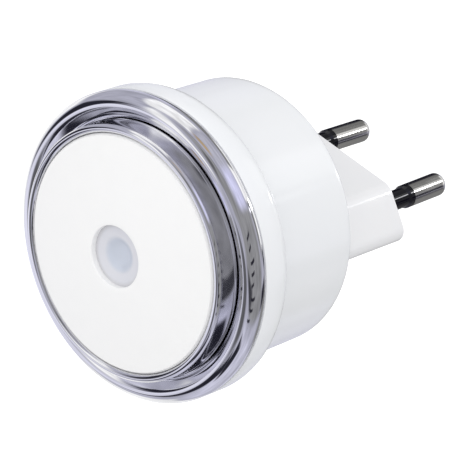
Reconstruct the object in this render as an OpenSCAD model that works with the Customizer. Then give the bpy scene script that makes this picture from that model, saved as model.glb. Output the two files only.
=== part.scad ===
// Plug-in night light with an automatic dusk sensor.
// The two plug pins lie side by side along X, +Y runs out of the wall end and +Z is up.
// The origin is the middle of the face that meets the wall socket.
// Depths named "s" are measured backwards from the edge of the opal disc.

/* [Opal disc] */
// Diameter of the opal disc that glows
disc_d = 39; // [37:0.5:41]
// How far the middle of the opal disc bulges forwards of its edge
disc_bulge = 1.5; // [0.8:0.1:2.2]
// Wall thickness of the opal disc
disc_wall = 1.6; // [1.3:0.1:1.9]
// Diameter of the sensor window
window_d = 10.2; // [9:0.2:12]
// How far the sensor window lies below the opal disc
window_recess = 1.1; // [0.7:0.1:1.4]

/* [Chrome rings] */
// Width of the rounded lip next to the opal disc
lip_w = 1.45; // [1.2:0.05:1.7]
// How much wider the bezel's steep band is at its foot than at the lip
band_w = 0.25; // [0.15:0.05:0.4]
// How far the steep band falls back to the dark joint line
band_drop = 3.45; // [3.2:0.05:3.7]
// Width of the outer trim ring, from the dark joint line to its outside
trim_w = 4.3; // [4.1:0.05:4.5]
// Width of the trim ring's inner face, which slants from the joint line up to the bead
face_w = 1.3; // [1.1:0.05:1.5]
// Radius of the trim ring's rounded bead
bead_r = 1.9; // [1.7:0.05:2]
// Depth of both rings in front of the housing
ring_depth = 5.8; // [5.5:0.1:6.2]

/* [Housing] */
// Depth of the light from the edge of the opal disc to the housing's back
body_depth = 30.2; // [29:0.2:34]
// Diameter of the housing's barrel behind the flange
barrel_d = 45; // [44:0.5:47]
// How much narrower the barrel is at its back
barrel_draft = 0.4; // [0:0.1:1]
// Straight length of the flange behind the trim ring
flange_len = 3.7; // [3.4:0.1:4.2]
// Radius of the flange's rounded shoulder
shoulder_r = 2.4; // [2:0.1:2.8]
// Radius of the hollow between the shoulder and the barrel
hollow_r = 1.6; // [1:0.1:2.2]
// Radius of the barrel's back edge
back_edge_r = 1.2; // [0.5:0.1:1.6]
// Wall thickness of the housing
wall = 1.9; // [1.6:0.1:2.2]
// Depth of the groove that the trim ring snaps into
snap_depth = 0.3; // [0.2:0.05:0.4]

/* [Plug] */
// Length of the plug body behind the housing
plug_len = 20.2; // [18:0.2:24]
// Width of the plug body across its two noses
plug_w = 34.4; // [33.8:0.1:35.4]
// Height of the plug body
plug_h = 12.9; // [12.4:0.1:13.6]
// Radius of the plug body's two noses
nose_r = 1.2; // [0.8:0.1:2]
// Radius between the flat and slanted sides of the plug body
flat_r = 3; // [1.5:0.5:4]
// Thickness of the flange that holds the plug body inside the housing
plug_flange_t = 2; // [1.6:0.1:2.4]
// Width of that flange's ledge
plug_flange_w = 1.5; // [1.2:0.1:1.8]

/* [Pins] */
// Diameter of a pin's bare end
pin_d = 4; // [3.94:0.02:4.06]
// Length of a pin from the wall face to its tip
pin_len = 19; // [18.5:0.1:19.5]
// Distance between the pins at the wall face
pin_pitch = 18.6; // [18:0.1:19.2]
// Distance between the pins at their tips
pin_tip_pitch = 17.9; // [17:0.1:18]
// Radius of the edge at a pin's tip
pin_tip_r = 1.1; // [0.6:0.1:1.6]
// Diameter of a pin's core inside its sleeve
pin_core_d = 2.4; // [2.2:0.1:2.6]
// Length of an insulating sleeve in front of the wall face
sleeve_len = 10; // [9.5:0.1:11]
// Diameter of a sleeve's neck
sleeve_d = 3.4; // [3.2:0.1:3.6]
// Length of the thick collar at the end of a sleeve
collar_len = 0.8; // [0.5:0.1:1.2]
// Length of the slope between neck and collar
collar_slope = 0.5; // [0.3:0.1:0.8]
// Length of a sleeve inside the plug body
sleeve_root = 6; // [4:0.5:9]

/* [Circuit board] */
// Thickness of the circuit board
board_t = 1.6; // [1.2:0.1:1.8]
// Diameter of the circle that the three board screws stand on
screw_circle_d = 35.2; // [34.6:0.1:35.6]
// Diameter of the housing's screw posts
post_d = 5.2; // [4.6:0.1:5.4]
// Diameter of a board screw's shank
board_screw_d = 2; // [1.8:0.1:2.2]
// Length of a board screw's shank
board_screw_len = 8; // [6:0.5:10]

/* [Electrical parts] */
// Width of the film capacitor that drops the mains voltage
film_w = 13; // [12:0.5:13.5]
// Thickness of the film capacitor
film_t = 6; // [5:0.5:6.5]
// Height of the film capacitor
film_h = 10; // [9:0.5:11.5]
// Diameter of the smoothing capacitor
can_d = 6.3; // [5:0.1:7]
// Height of the smoothing capacitor
can_h = 11; // [7:0.5:12]
// Diameter of the circle that the light-emitting diodes stand on
led_circle_d = 25; // [23:0.5:26]
// Length of a light-emitting diode
led_l = 3.5; // [3:0.1:3.8]
// Width of a light-emitting diode
led_w = 2.8; // [2.4:0.1:3]
// Height of a light-emitting diode
led_h = 1.9; // [1.4:0.1:2]
// Diameter of the light sensor
sensor_d = 5; // [4.6:0.1:5.4]
// Diameter of the two lead wires over their insulation
wire_d = 1.4; // [1:0.1:1.6]

/* [Hidden] */

// Smoothness of turned pieces and the number of steps in a drawn arc
round_fn = 96;
small_fn = 32;
arc_steps = 10;

// Clearances
slip = 0.15;          // between a pushed-in piece and its hole
seat_gap = 0.1;       // between a held piece and what holds it
thread_gap = 0.05;    // between a screw or lead and its hole

// Depths behind the edge of the opal disc
lip_s = 0.45;                                   // where the lip meets the steep band
disc_back_s = 2.05;                             // back of the opal disc's rim
disc_rim_t = 1;                                 // thickness of that rim
disc_rim_w = 0.6;                               // width of that rim under the lip
joint_s = lip_s + band_drop;                    // depth of the dark joint line
bezel_wall_len = 1.1;                           // straight wall behind the steep band
bezel_back_s = joint_s + bezel_wall_len;
trim_ledge_t = 1;                               // ledge of the trim ring under the bezel
bead_seat = 1.4;                                // from the bead's middle to the housing
trim_ledge_s = bezel_back_s + seat_gap;
snap_s = ring_depth + 0.95;                     // front of the snap ridge and its groove
snap_land = 0.4;                                // flat top of the ridge
snap_slope = 0.3;                               // slopes on both sides of it
skirt_len = 2.2;                                // of the trim ring, inside the housing
skirt_wall = 1;
skirt_s = ring_depth + skirt_len;
board_s = skirt_s + 3 * seat_gap;               // front of the circuit board
board_back_s = board_s + board_t;
back_wall_s = body_depth - wall;                // inside of the housing's back wall
plug_front_s = back_wall_s - plug_flange_t;     // inner end of the plug body
plug_depth = plug_len + body_depth - plug_front_s;
front_y = -(plug_len + body_depth);

// Radii about the light's axis
disc_r = disc_d / 2;
bezel_in_r = disc_r + seat_gap;
lip_r = disc_r + lip_w;
joint_r = lip_r + band_w;
flange_r = joint_r + trim_w;
barrel_r = barrel_d / 2;
barrel_back_r = barrel_r - barrel_draft / 2;
chamber_r = barrel_back_r - wall;
flange_in_r = flange_r - wall;
skirt_r = flange_in_r - slip;
skirt_in_r = skirt_r - skirt_wall;
rim_r = bezel_in_r + disc_rim_w;                // rim of the opal disc under the lip
bezel_wall_r = rim_r + slip;                    // inside of the bezel ring
ledge_in_r = bezel_wall_r + 2 * slip;
reflector_r = bezel_wall_r - slip;
board_r = flange_in_r - 3 * slip;
window_r = window_d / 2;
dome_r = (pow(disc_r, 2) + pow(disc_bulge, 2)) / (2 * disc_bulge);

// Pins
pin_tilt = asin((pin_pitch - pin_tip_pitch) / 2 / pin_len);
tag_t = 0.8;
tag_r = 2.6;
tag_reach = 5;                                  // from the pin's axis to the bent tongue
tongue_w = 2.4;
tongue_h = 3.4;
rivet_t = 1;
tag_s = plug_front_s - tag_t - seat_gap;        // front face of a pin's tag

// Screws
head_t = 1.1;
board_head_r = 1.9;
ear_rise = 4.1;                                 // from the plug body's flat side to the screw
plug_screw_z = plug_h / 2 + ear_rise;
plug_head_r = 1.7;
plug_screw_r = 0.95;
plug_screw_grip = 2.4;                          // into the post and the back wall
ear_r = 2.6;
ear_t = 1.5;
ear_root = 1.2;                                 // thickness of an ear's root on the flat side
ear_post = 1.5;                                 // height of the housing's posts under the ears
ear_s = back_wall_s - ear_post - ear_t;         // front face of the plug body's ears

// Leads and their holes in the board
lead_r = 0.3;
lead_hole_r = lead_r + 2 * thread_gap;
lead_end = 0.7;                                 // how far a lead stands out of the board
film_x = 0;
film_z = 12;
film_pitch = 10;
can_x = 9.5;
can_z = -11;
can_pitch = 2.5;
fusible_z = -3;
fusible_pitch = 11;
fusible_r = 1.3;
fusible_l = 7;
bleed_z = 3.5;
bleed_pitch = 10;
bleed_r = 1.2;
bleed_l = 6.3;
zener_x = -4.5;
zener_z = -9.5;
zener_pitch = 7.5;
zener_r = 1.1;
zener_l = 4.2;
transistor_x = -11.5;
transistor_z = -10;
transistor_pitch = 1.27;
sensor_pitch = 2.54;
bridge_x = -12.5;
bridge_z = 3;
chip_x = 15;
wire_end_x = 12;
wire_end_z = 0.6;
wire_bend = 2;                                  // half the length of a lead's slanted run

back_leads = [
    [film_x - film_pitch / 2, film_z], [film_x + film_pitch / 2, film_z],
    [can_x - can_pitch / 2, can_z], [can_x + can_pitch / 2, can_z],
    [-fusible_pitch / 2, fusible_z], [fusible_pitch / 2, fusible_z],
    [-bleed_pitch / 2, bleed_z], [bleed_pitch / 2, bleed_z],
    [zener_x - zener_pitch / 2, zener_z], [zener_x + zener_pitch / 2, zener_z],
    [transistor_x - transistor_pitch, transistor_z], [transistor_x, transistor_z],
    [transistor_x + transistor_pitch, transistor_z],
    [wire_end_x, wire_end_z], [-wire_end_x, -wire_end_z]
];
front_leads = [[-sensor_pitch / 2, 0], [sensor_pitch / 2, 0]];
post_angles = [35, 145, 270];
led_angles = [30:60:330];

// Reflector and sensor
floor_s = board_s - led_h - seat_gap;           // front of the reflector's floor
floor_t = 0.8;
reflector_wall = 0.9;
shroud_wall = 1.2;
shroud_in_r = sensor_d / 2 + 3 * seat_gap;
shroud_r = shroud_in_r + shroud_wall;
window_s = window_recess - disc_bulge;          // front of the sensor window
window_t = 1.3;
window_back_s = window_s + window_t;
window_rim_w = 1;
sensor_tip_s = window_back_s + 3 * seat_gap;
sensor_flange_t = 1;

// Points of an arc about a centre, from one angle to another
function arc(c, r, a0, a1, n = arc_steps) = [
    for (i = [0:n]) c + r * [cos(a0 + (a1 - a0) * i / n), sin(a0 + (a1 - a0) * i / n)]
];

// Depth of the opal disc's domed front at a radius, and of a shell under it
function dome_s(r, t = 0) = dome_r - disc_bulge - sqrt(pow(dome_r - t, 2) - r * r);

// A place at x, z across the light, s behind the opal disc's edge, facing the plug
module at(x, s, z) translate([x, front_y + s, z]) rotate([-90, 0, 0]) children();

// Turns a drawn half section of radius and depth about the light's axis
module turned(fn = round_fn) at(0, 0, 0) rotate_extrude($fn = fn) children();

// A round bar along the axis from depth s0 to depth s1
module bar(x, z, s0, s1, r, fn = small_fn) at(x, s0, z) cylinder(h = s1 - s0, r = r, $fn = fn);

// A block along the axis, centred at x, z
module block(x, z, s0, s1, w, h) {
    translate([x - w / 2, front_y + s0, z - h / 2]) cube([w, s1 - s0, h]);
}

// A flat drawing in X and Z, pulled along the axis from depth s0 to depth s1
module slab(s0, s1) {
    translate([0, front_y + s1, 0]) rotate([90, 0, 0]) linear_extrude(s1 - s0) children();
}

// A place on one pin's line, at the wall face, facing the pin's tip
module on_pin(side) {
    translate([side * pin_pitch / 2, 0, 0]) rotate([0, 0, side * pin_tilt]) rotate([-90, 0, 0]) children();
}

// A round bar between two points
module rod(a, b, r) {
    d = b - a;
    turn = atan2(d[1], d[0]);
    lean = atan2(norm([d[0], d[1]]), d[2]);
    translate(a) rotate([0, lean, turn]) cylinder(h = norm(d), r = r, $fn = small_fn);
}

// A round wire through a list of points, with round knees
module wire(points, r) {
    knee = 1.04;
    for (i = [0:len(points) - 2]) rod(points[i], points[i + 1], r);
    for (i = [1:len(points) - 2]) translate(points[i]) sphere(r = knee * r, $fn = small_fn);
}

// The plug body's outline: two flats, four slanted sides and two noses
module plug_outline(grow = 0) {
    reach = plug_w / 2 - nose_r + nose_r * sqrt(2);
    corner_z = plug_h / 2 - flat_r;
    corner_x = reach - corner_z - flat_r * sqrt(2);
    nose_x = plug_w / 2 - nose_r;
    polygon(concat(
        arc([nose_x, 0], nose_r + grow, -45, 45),
        arc([corner_x, corner_z], flat_r + grow, 45, 90),
        arc([-corner_x, corner_z], flat_r + grow, 90, 135),
        arc([-nose_x, 0], nose_r + grow, 135, 225),
        arc([-corner_x, -corner_z], flat_r + grow, 225, 270),
        arc([corner_x, -corner_z], flat_r + grow, 270, 315)
    ));
}

// Half section of the rear housing
module housing_section() {
    step = flange_r - barrel_r;
    swing = acos(max(0, 1 - step / (shoulder_r + hollow_r)));
    shoulder_s = ring_depth + flange_len;
    hollow_s = shoulder_s + (shoulder_r + hollow_r) * sin(swing);
    groove_r = flange_in_r + snap_depth + seat_gap;
    polygon(concat(
        [[flange_in_r, ring_depth], [flange_r, ring_depth]],
        arc([flange_r - shoulder_r, shoulder_s], shoulder_r, 0, swing),
        arc([barrel_r + hollow_r, hollow_s], hollow_r, 180 + swing, 180),
        arc([barrel_back_r - back_edge_r, body_depth - back_edge_r], back_edge_r, 0, 90),
        [[0, body_depth], [0, back_wall_s], [chamber_r, back_wall_s], [chamber_r, board_back_s]],
        [[flange_in_r, board_back_s], [flange_in_r, snap_s + snap_land + snap_slope]],
        [[groove_r, snap_s + snap_land], [groove_r, snap_s], [flange_in_r, snap_s - snap_slope]]
    ));
}

// One of the three posts that carry the board, with its rib to the wall
module board_post(angle) {
    x = screw_circle_d / 2 * cos(angle);
    z = screw_circle_d / 2 * sin(angle);
    rib_t = 1.6;
    difference() {
        union() {
            bar(x, z, board_back_s, body_depth - wall / 2, post_d / 2);
            rotate([0, -angle, 0])
                block((screw_circle_d / 2 + chamber_r + wall / 2) / 2, 0, board_back_s + 1,
                      body_depth - wall / 2, chamber_r + wall / 2 - screw_circle_d / 2, rib_t);
        }
        bar(x, z, board_s, board_s + board_screw_len + 1, board_screw_d / 2 + thread_gap);
    }
}

// The glossy white rear shell: flange, barrel, back wall and the posts inside it
module rear_housing() color("white") {
    difference() {
        union() {
            turned() housing_section();
            for (angle = post_angles) board_post(angle);
            for (side = [-1, 1])
                bar(0, side * plug_screw_z, ear_s + ear_t, body_depth - wall / 2, ear_r);
        }
        slab(back_wall_s - 1, body_depth + 1) plug_outline(slip);
        for (angle = post_angles)
            bar(screw_circle_d / 2 * cos(angle), screw_circle_d / 2 * sin(angle), board_s,
                board_s + board_screw_len + 1, board_screw_d / 2 + thread_gap);
        for (side = [-1, 1])
            bar(0, side * plug_screw_z, ear_s, ear_s + ear_t + plug_screw_grip + 2 * seat_gap,
                plug_screw_r + thread_gap);
    }
}

// The insulating plug body: the part in the socket, its inner flange and screw ears
module plug_body() color("whitesmoke") {
    difference() {
        union() {
            slab(plug_front_s, body_depth + plug_len) plug_outline();
            slab(plug_front_s, back_wall_s) plug_outline(plug_flange_w);
            for (side = [-1, 1]) {
                bar(0, side * plug_screw_z, ear_s, ear_s + ear_t, ear_r);
                block(0, side * (plug_h + ear_rise) / 2, ear_s, ear_s + ear_t, 2 * ear_r, ear_rise);
                block(0, side * (plug_h - ear_root) / 2, ear_s, ear_s + ear_t, 2 * ear_r, ear_root);
            }
        }
        for (side = [-1, 1]) {
            bar(0, side * plug_screw_z, ear_s - 1, ear_s + ear_t + 1, plug_screw_r + slip);
            on_pin(side) {
                translate([0, 0, -sleeve_root - seat_gap])
                    cylinder(h = sleeve_root + 2, r = sleeve_d / 2 + thread_gap, $fn = small_fn);
                translate([0, 0, -plug_depth - 1])
                    cylinder(h = plug_depth, r = pin_core_d / 2 + thread_gap, $fn = small_fn);
            }
        }
    }
}

// One nickel-plated plug pin: domed bare end, thin core and riveted inner end
module plug_pin(side) color("silver") {
    bare_r = pin_d / 2;
    core_r = pin_core_d / 2;
    tail = plug_depth + tag_t + 2 * seat_gap;
    on_pin(side) rotate_extrude($fn = round_fn) polygon(concat(
        [[0, -tail - rivet_t], [core_r + 0.6, -tail - rivet_t], [core_r + 0.6, -tail]],
        [[core_r, -tail], [core_r, sleeve_len + seat_gap], [bare_r, sleeve_len + seat_gap]],
        arc([bare_r - pin_tip_r, pin_len - pin_tip_r], pin_tip_r, 0, 90),
        [[0, pin_len]]
    ));
}

module plug_pin_left() plug_pin(-1);

module plug_pin_right() plug_pin(1);

// One black insulating sleeve, thin at its neck and thick at its collar
module pin_sleeve(side) color("black") {
    bore_r = pin_core_d / 2 + thread_gap;
    slope_end = sleeve_len - collar_len;
    on_pin(side) rotate_extrude($fn = round_fn) polygon([
        [bore_r, -sleeve_root], [sleeve_d / 2, -sleeve_root],
        [sleeve_d / 2, slope_end - collar_slope], [pin_d / 2, slope_end],
        [pin_d / 2, sleeve_len], [bore_r, sleeve_len]
    ]);
}

module pin_sleeve_left() pin_sleeve(-1);

module pin_sleeve_right() pin_sleeve(1);

// One brass tag: a ring under the riveted pin end and a tongue bent towards the board
module pin_tag(side) color("gold") {
    base = -plug_depth - seat_gap - tag_t;
    reach = tag_reach;
    on_pin(side) difference() {
        union() {
            translate([0, 0, base]) cylinder(h = tag_t, r = tag_r, $fn = small_fn);
            translate([-tongue_w / 2, side > 0 ? -reach : 0, base]) cube([tongue_w, reach, tag_t]);
            translate([-tongue_w / 2, side > 0 ? -reach : reach - tag_t, base - tongue_h])
                cube([tongue_w, tag_t, tongue_h + tag_t]);
        }
        translate([0, 0, base - 1])
            cylinder(h = tag_t + 2, r = pin_core_d / 2 + thread_gap, $fn = small_fn);
    }
}

module pin_tag_left() pin_tag(-1);

module pin_tag_right() pin_tag(1);

// A pan-head screw along the axis, its head's front face at depth s
module pan_screw(x, z, s, head_r, shank_r, shank_len) {
    bar(x, z, s, s + head_t, head_r);
    bar(x, z, s + head_t - 0.1, s + head_t + shank_len, shank_r);
}

// The two screws that hold the plug body's ears to the housing
module plug_screws() color("silver")
    for (side = [-1, 1])
        pan_screw(0, side * plug_screw_z, ear_s - head_t - thread_gap, plug_head_r, plug_screw_r,
                  ear_t + plug_screw_grip);

// The three screws that hold the board to the housing's posts
module board_screws() color("silver")
    for (angle = post_angles)
        pan_screw(screw_circle_d / 2 * cos(angle), screw_circle_d / 2 * sin(angle),
                  board_s - head_t - thread_gap, board_head_r, board_screw_d / 2, board_screw_len);

// One insulated lead from the left pin's tag to the board, with its bare end
module lead() {
    tag_x = -pin_pitch / 2 - (plug_depth + tag_t) * sin(pin_tilt);
    tongue_z = -tag_reach - wire_d / 2 - seat_gap;
    start_s = tag_s - seat_gap;
    mid_s = (start_s + board_back_s) / 2;
    skin_s = board_back_s + seat_gap;
    wire([
        [tag_x, front_y + start_s, tongue_z],
        [tag_x, front_y + mid_s + wire_bend, tongue_z],
        [-wire_end_x, front_y + mid_s - wire_bend, -wire_end_z],
        [-wire_end_x, front_y + skin_s, -wire_end_z]
    ], wire_d / 2);
    bar(-wire_end_x, -wire_end_z, board_s - lead_end, skin_s + 2 * seat_gap, lead_r);
}

module live_lead() color("brown") lead();

module neutral_lead() color("blue") rotate([0, 180, 0]) lead();

// The round circuit board with its screw and lead holes
module circuit_board() color("seagreen") {
    difference() {
        bar(0, 0, board_s, board_back_s, board_r, round_fn);
        for (angle = post_angles)
            bar(screw_circle_d / 2 * cos(angle), screw_circle_d / 2 * sin(angle), board_s - 1,
                board_back_s + 1, board_screw_d / 2 + slip);
        for (p = concat(back_leads, front_leads))
            bar(p[0], p[1], board_s - 1, board_back_s + 1, lead_hole_r);
    }
}

// Two straight leads through the board from a piece that stands on its back
module straight_leads(x, z, pitch, count = 2) {
    for (i = [0:count - 1])
        bar(x + (i - (count - 1) / 2) * pitch, z, board_s - lead_end, board_back_s + 0.5, lead_r);
}

// The boxed film capacitor that drops the mains voltage
module film_capacitor() color("goldenrod") {
    block(film_x, film_z, board_back_s + seat_gap, board_back_s + seat_gap + film_h, film_w, film_t);
    straight_leads(film_x, film_z, film_pitch);
}

// The round smoothing capacitor with its crimped base
module smoothing_capacitor() color("midnightblue") {
    can_r = can_d / 2;
    s0 = board_back_s + seat_gap;
    crimp = 0.3;
    at(can_x, s0, can_z) rotate_extrude($fn = small_fn * 2) polygon([
        [0, 0], [can_r, 0], [can_r, 0.8], [can_r - crimp, 1.1], [can_r - crimp, 1.4],
        [can_r, 1.7], [can_r, can_h - 0.3], [can_r - 0.3, can_h], [0, can_h]
    ]);
    straight_leads(can_x, can_z, can_pitch);
}

// The bridge rectifier block with its four legs
module bridge_rectifier() color("dimgray") {
    bridge_l = 4.7;
    bridge_w = 3.9;
    bridge_h = 2.4;
    foot = 0.25;
    s0 = board_back_s;
    block(bridge_x, bridge_z, s0 + foot, s0 + foot + bridge_h, bridge_w, bridge_l);
    for (i = [-1, 1], j = [-1, 1]) {
        block(bridge_x + i * (bridge_w / 2 + 0.5), bridge_z + j * 1.27, s0, s0 + foot, 1, 0.6);
        block(bridge_x + i * (bridge_w / 2 + 0.1), bridge_z + j * 1.27, s0, s0 + 1.3, 0.25, 0.6);
    }
}

// A lying piece with wire ends bent down through the board
module axial_part(x, z, pitch, body_r, body_l) {
    s = board_back_s + seat_gap + body_r;
    at(x - body_l / 2, s, z) rotate([0, 90, 0]) cylinder(h = body_l, r = body_r, $fn = small_fn);
    at(x - pitch / 2, s, z) rotate([0, 90, 0]) cylinder(h = pitch, r = lead_r, $fn = small_fn);
    for (i = [-1, 1]) {
        bar(x + i * pitch / 2, z, board_s - lead_end, s, lead_r);
        at(x + i * pitch / 2, s, z) sphere(r = lead_r, $fn = small_fn);
    }
}

// The resistor that also acts as the fuse
module fusible_resistor() color("steelblue") axial_part(0, fusible_z, fusible_pitch, fusible_r, fusible_l);

// The resistor that empties the film capacitor after unplugging
module bleed_resistor() color("tan") axial_part(0, bleed_z, bleed_pitch, bleed_r, bleed_l);

// The diode that limits the voltage
module zener_diode() color("orangered") axial_part(zener_x, zener_z, zener_pitch, zener_r, zener_l);

// The transistor that switches the light off by day, standing on three leads
module switching_transistor() color("black") {
    body_r = 2.3;
    flat = 1.2;
    s0 = board_back_s + 1.5;
    body_h = 4.6;
    difference() {
        bar(transistor_x, transistor_z, s0, s0 + body_h, body_r);
        block(transistor_x, transistor_z - flat - 2, s0 - 1, s0 + body_h + 1, 2 * body_r + 1, 4);
    }
    for (i = [-1:1])
        bar(transistor_x + i * transistor_pitch, transistor_z, board_s - lead_end, s0 + 0.5, lead_r);
}

// Four small resistors soldered flat on the back of the board
module chip_resistors() color("black")
    for (z = [-6:2:0]) block(chip_x, z, board_back_s, board_back_s + 0.6, 2, 1.25);

// The solder cones round every lead, on the side away from its piece
module solder_joints() color("lightgray") {
    cone_r = 0.6;
    cone_h = 0.45;
    for (p = back_leads) at(p[0], board_s - cone_h, p[1]) difference() {
        cylinder(h = cone_h, r1 = lead_r + 0.15, r2 = cone_r, $fn = small_fn);
        translate([0, 0, -1]) cylinder(h = cone_h + 2, r = lead_r + thread_gap, $fn = small_fn);
    }
    for (p = front_leads) at(p[0], board_back_s, p[1]) difference() {
        cylinder(h = cone_h, r1 = cone_r, r2 = lead_r + 0.15, $fn = small_fn);
        translate([0, 0, -1]) cylinder(h = cone_h + 2, r = lead_r + thread_gap, $fn = small_fn);
    }
}

// The light-emitting diodes on the front of the board
module leds() color("lightyellow")
    for (angle = led_angles) rotate([0, angle, 0])
        block(led_circle_d / 2, 0, board_s - led_h, board_s, led_w, led_l);

// The clear light sensor with its domed tip just behind the window
module light_sensor() color("lightblue") {
    r = sensor_d / 2;
    tip_r = r - seat_gap;
    back_s = board_s - seat_gap;
    turned(small_fn * 2) polygon(concat(
        [[0, back_s], [r, back_s], [r, back_s - sensor_flange_t], [tip_r, back_s - sensor_flange_t]],
        arc([0, sensor_tip_s + tip_r], tip_r, 0, -90)
    ));
    for (p = front_leads) bar(p[0], p[1], back_s - 0.5, board_back_s + lead_end, lead_r);
}

// The dark tube that keeps the lamp's own light off the sensor
module sensor_shroud() color("dimgray")
    turned(small_fn * 2) polygon([
        [shroud_in_r, window_back_s + seat_gap], [shroud_r, window_back_s + seat_gap],
        [shroud_r, board_s], [shroud_in_r, board_s]
    ]);

// The white dish that spreads the light evenly behind the opal disc
module reflector() color("white") {
    front_s = disc_back_s;
    foot_in_r = reflector_r - reflector_wall;
    dish_in_r = reflector_r - 2 * reflector_wall;
    difference() {
        turned() polygon([
            [shroud_r + 2 * seat_gap, floor_s], [dish_in_r, floor_s],
            [reflector_r - 0.6, front_s], [reflector_r, front_s], [reflector_r, board_s],
            [foot_in_r, board_s], [foot_in_r, floor_s + floor_t],
            [shroud_r + 2 * seat_gap, floor_s + floor_t]
        ]);
        for (angle = led_angles) rotate([0, angle, 0])
            block(led_circle_d / 2, 0, floor_s - 1, floor_s + floor_t + 1, led_w + 4 * seat_gap,
                  led_l + 4 * seat_gap);
        for (angle = post_angles)
            bar(screw_circle_d / 2 * cos(angle), screw_circle_d / 2 * sin(angle),
                board_s - head_t - slip, board_s + 1, board_head_r + seat_gap);
    }
}

// The translucent window over the light sensor, with a rim behind the opal disc
module sensor_window() color("aliceblue") {
    body_r = window_r - seat_gap;
    rim_front_s = dome_s(window_r + window_rim_w, disc_wall) + seat_gap;
    turned() polygon([
        [0, window_s], [body_r, window_s], [body_r, rim_front_s],
        [window_r + window_rim_w, rim_front_s], [window_r + window_rim_w, window_back_s],
        [0, window_back_s]
    ]);
}

// The opal disc: a shallow dome with a hole for the window and a rim under the bezel
module opal_disc() color("ghostwhite") {
    edge_r = 0.3;
    visible_r = bezel_in_r - seat_gap;
    steps = 12;
    inner_r = visible_r - disc_wall;
    rim_front_s = disc_back_s - disc_rim_t;
    turned() polygon(concat(
        [for (i = [0:steps]) let (r = window_r + (visible_r - edge_r - window_r) * i / steps)
            [r, dome_s(r)]],
        arc([visible_r - edge_r, dome_s(visible_r - edge_r) + edge_r], edge_r, -60, 0, 4),
        [[visible_r, rim_front_s], [rim_r, rim_front_s], [rim_r, disc_back_s]],
        [[inner_r, disc_back_s]],
        [for (i = [steps:-1:0]) let (r = window_r + (inner_r - window_r) * i / steps)
            [r, dome_s(r, disc_wall)]]
    ));
}

// The inner chrome ring: a rounded lip round the disc and a steep band down to the joint line
module bezel_ring() color("silver") {
    lip_in_r = 0.4;
    lip_out_r = 0.7;
    fall = atan2(band_w, band_drop);
    lip_top = [lip_r - lip_out_r * cos(fall), lip_s + lip_out_r * sin(fall)];
    lip_front_s = lip_top[1] - lip_out_r;
    under_s = disc_back_s - disc_rim_t - seat_gap;
    turned() polygon(concat(
        [[bezel_in_r, under_s]],
        arc([bezel_in_r + lip_in_r, lip_front_s + lip_in_r], lip_in_r, 180, 270),
        arc(lip_top, lip_out_r, 270, 360 - fall),
        [[joint_r, joint_s], [joint_r, bezel_back_s], [bezel_wall_r, bezel_back_s]],
        [[bezel_wall_r, under_s]]
    ));
}

// The outer chrome ring: a slanted inner face, a rounded bead, the ledge under the bezel and the
// snap-in skirt
module trim_ring() color("silver") {
    trim_in_r = joint_r + slip;
    bead = [flange_r - bead_r, ring_depth - bead_seat];
    start = 180 + acos(min(1, (bead[0] - trim_in_r - face_w) / bead_r));
    snap_r = skirt_r + snap_depth;
    turned() polygon(concat(
        arc(bead, bead_r, start, 360, 2 * arc_steps),
        [[flange_r, ring_depth], [skirt_r, ring_depth], [skirt_r, snap_s - snap_slope]],
        [[snap_r, snap_s], [snap_r, snap_s + snap_land]],
        [[skirt_r, snap_s + snap_land + snap_slope]],
        [[skirt_r, skirt_s], [skirt_in_r, skirt_s], [skirt_in_r, trim_ledge_s + trim_ledge_t]],
        [[ledge_in_r, trim_ledge_s + trim_ledge_t], [ledge_in_r, trim_ledge_s]],
        [[trim_in_r, trim_ledge_s], [trim_in_r, joint_s]]
    ));
}

rear_housing();
plug_body();
plug_pin_left();
plug_pin_right();
pin_sleeve_left();
pin_sleeve_right();
pin_tag_left();
pin_tag_right();
plug_screws();
live_lead();
neutral_lead();
circuit_board();
board_screws();
film_capacitor();
smoothing_capacitor();
bridge_rectifier();
fusible_resistor();
bleed_resistor();
zener_diode();
switching_transistor();
chip_resistors();
solder_joints();
leds();
light_sensor();
sensor_shroud();
reflector();
sensor_window();
opal_disc();
bezel_ring();
trim_ring();
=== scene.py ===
# %% [markdown]
# # A plug-in night light
#
# This file dresses a finished mechanical model, the frame, so that it looks like the real light:
# an opal disc in two chrome rings, a glossy white housing, a flat plug body and two pins.
# The frame is loaded first, because it says where each piece is.

import math

import bmesh
import bpy
from mathutils import Matrix, Vector


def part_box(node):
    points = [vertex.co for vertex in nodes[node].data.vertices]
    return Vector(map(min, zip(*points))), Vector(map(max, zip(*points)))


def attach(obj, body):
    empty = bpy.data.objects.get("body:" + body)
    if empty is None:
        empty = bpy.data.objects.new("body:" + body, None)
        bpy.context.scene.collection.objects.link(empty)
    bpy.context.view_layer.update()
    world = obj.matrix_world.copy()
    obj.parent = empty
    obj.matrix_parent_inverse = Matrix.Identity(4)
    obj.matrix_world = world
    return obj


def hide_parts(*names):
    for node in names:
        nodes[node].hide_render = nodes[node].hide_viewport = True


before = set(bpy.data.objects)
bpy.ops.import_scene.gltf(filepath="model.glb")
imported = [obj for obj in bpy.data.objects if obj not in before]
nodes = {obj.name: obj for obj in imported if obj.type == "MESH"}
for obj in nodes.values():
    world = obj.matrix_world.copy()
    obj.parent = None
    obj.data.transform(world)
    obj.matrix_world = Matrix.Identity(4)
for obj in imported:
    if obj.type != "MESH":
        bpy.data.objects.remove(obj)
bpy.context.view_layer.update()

# %% [markdown]
# ## Where things are
#
# The light is a stack of turned pieces on one axis, so two numbers place every ring of points:
# its radius, and its depth behind the edge of the opal disc. Both are written in millimetres, as
# on a drawing of the light, and `MM` turns them into Blender's metres. The frame's origin is the
# plug's end face, +Y points into the wall socket and +Z is up, so one small function can turn
# every depth into a Y.

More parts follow.
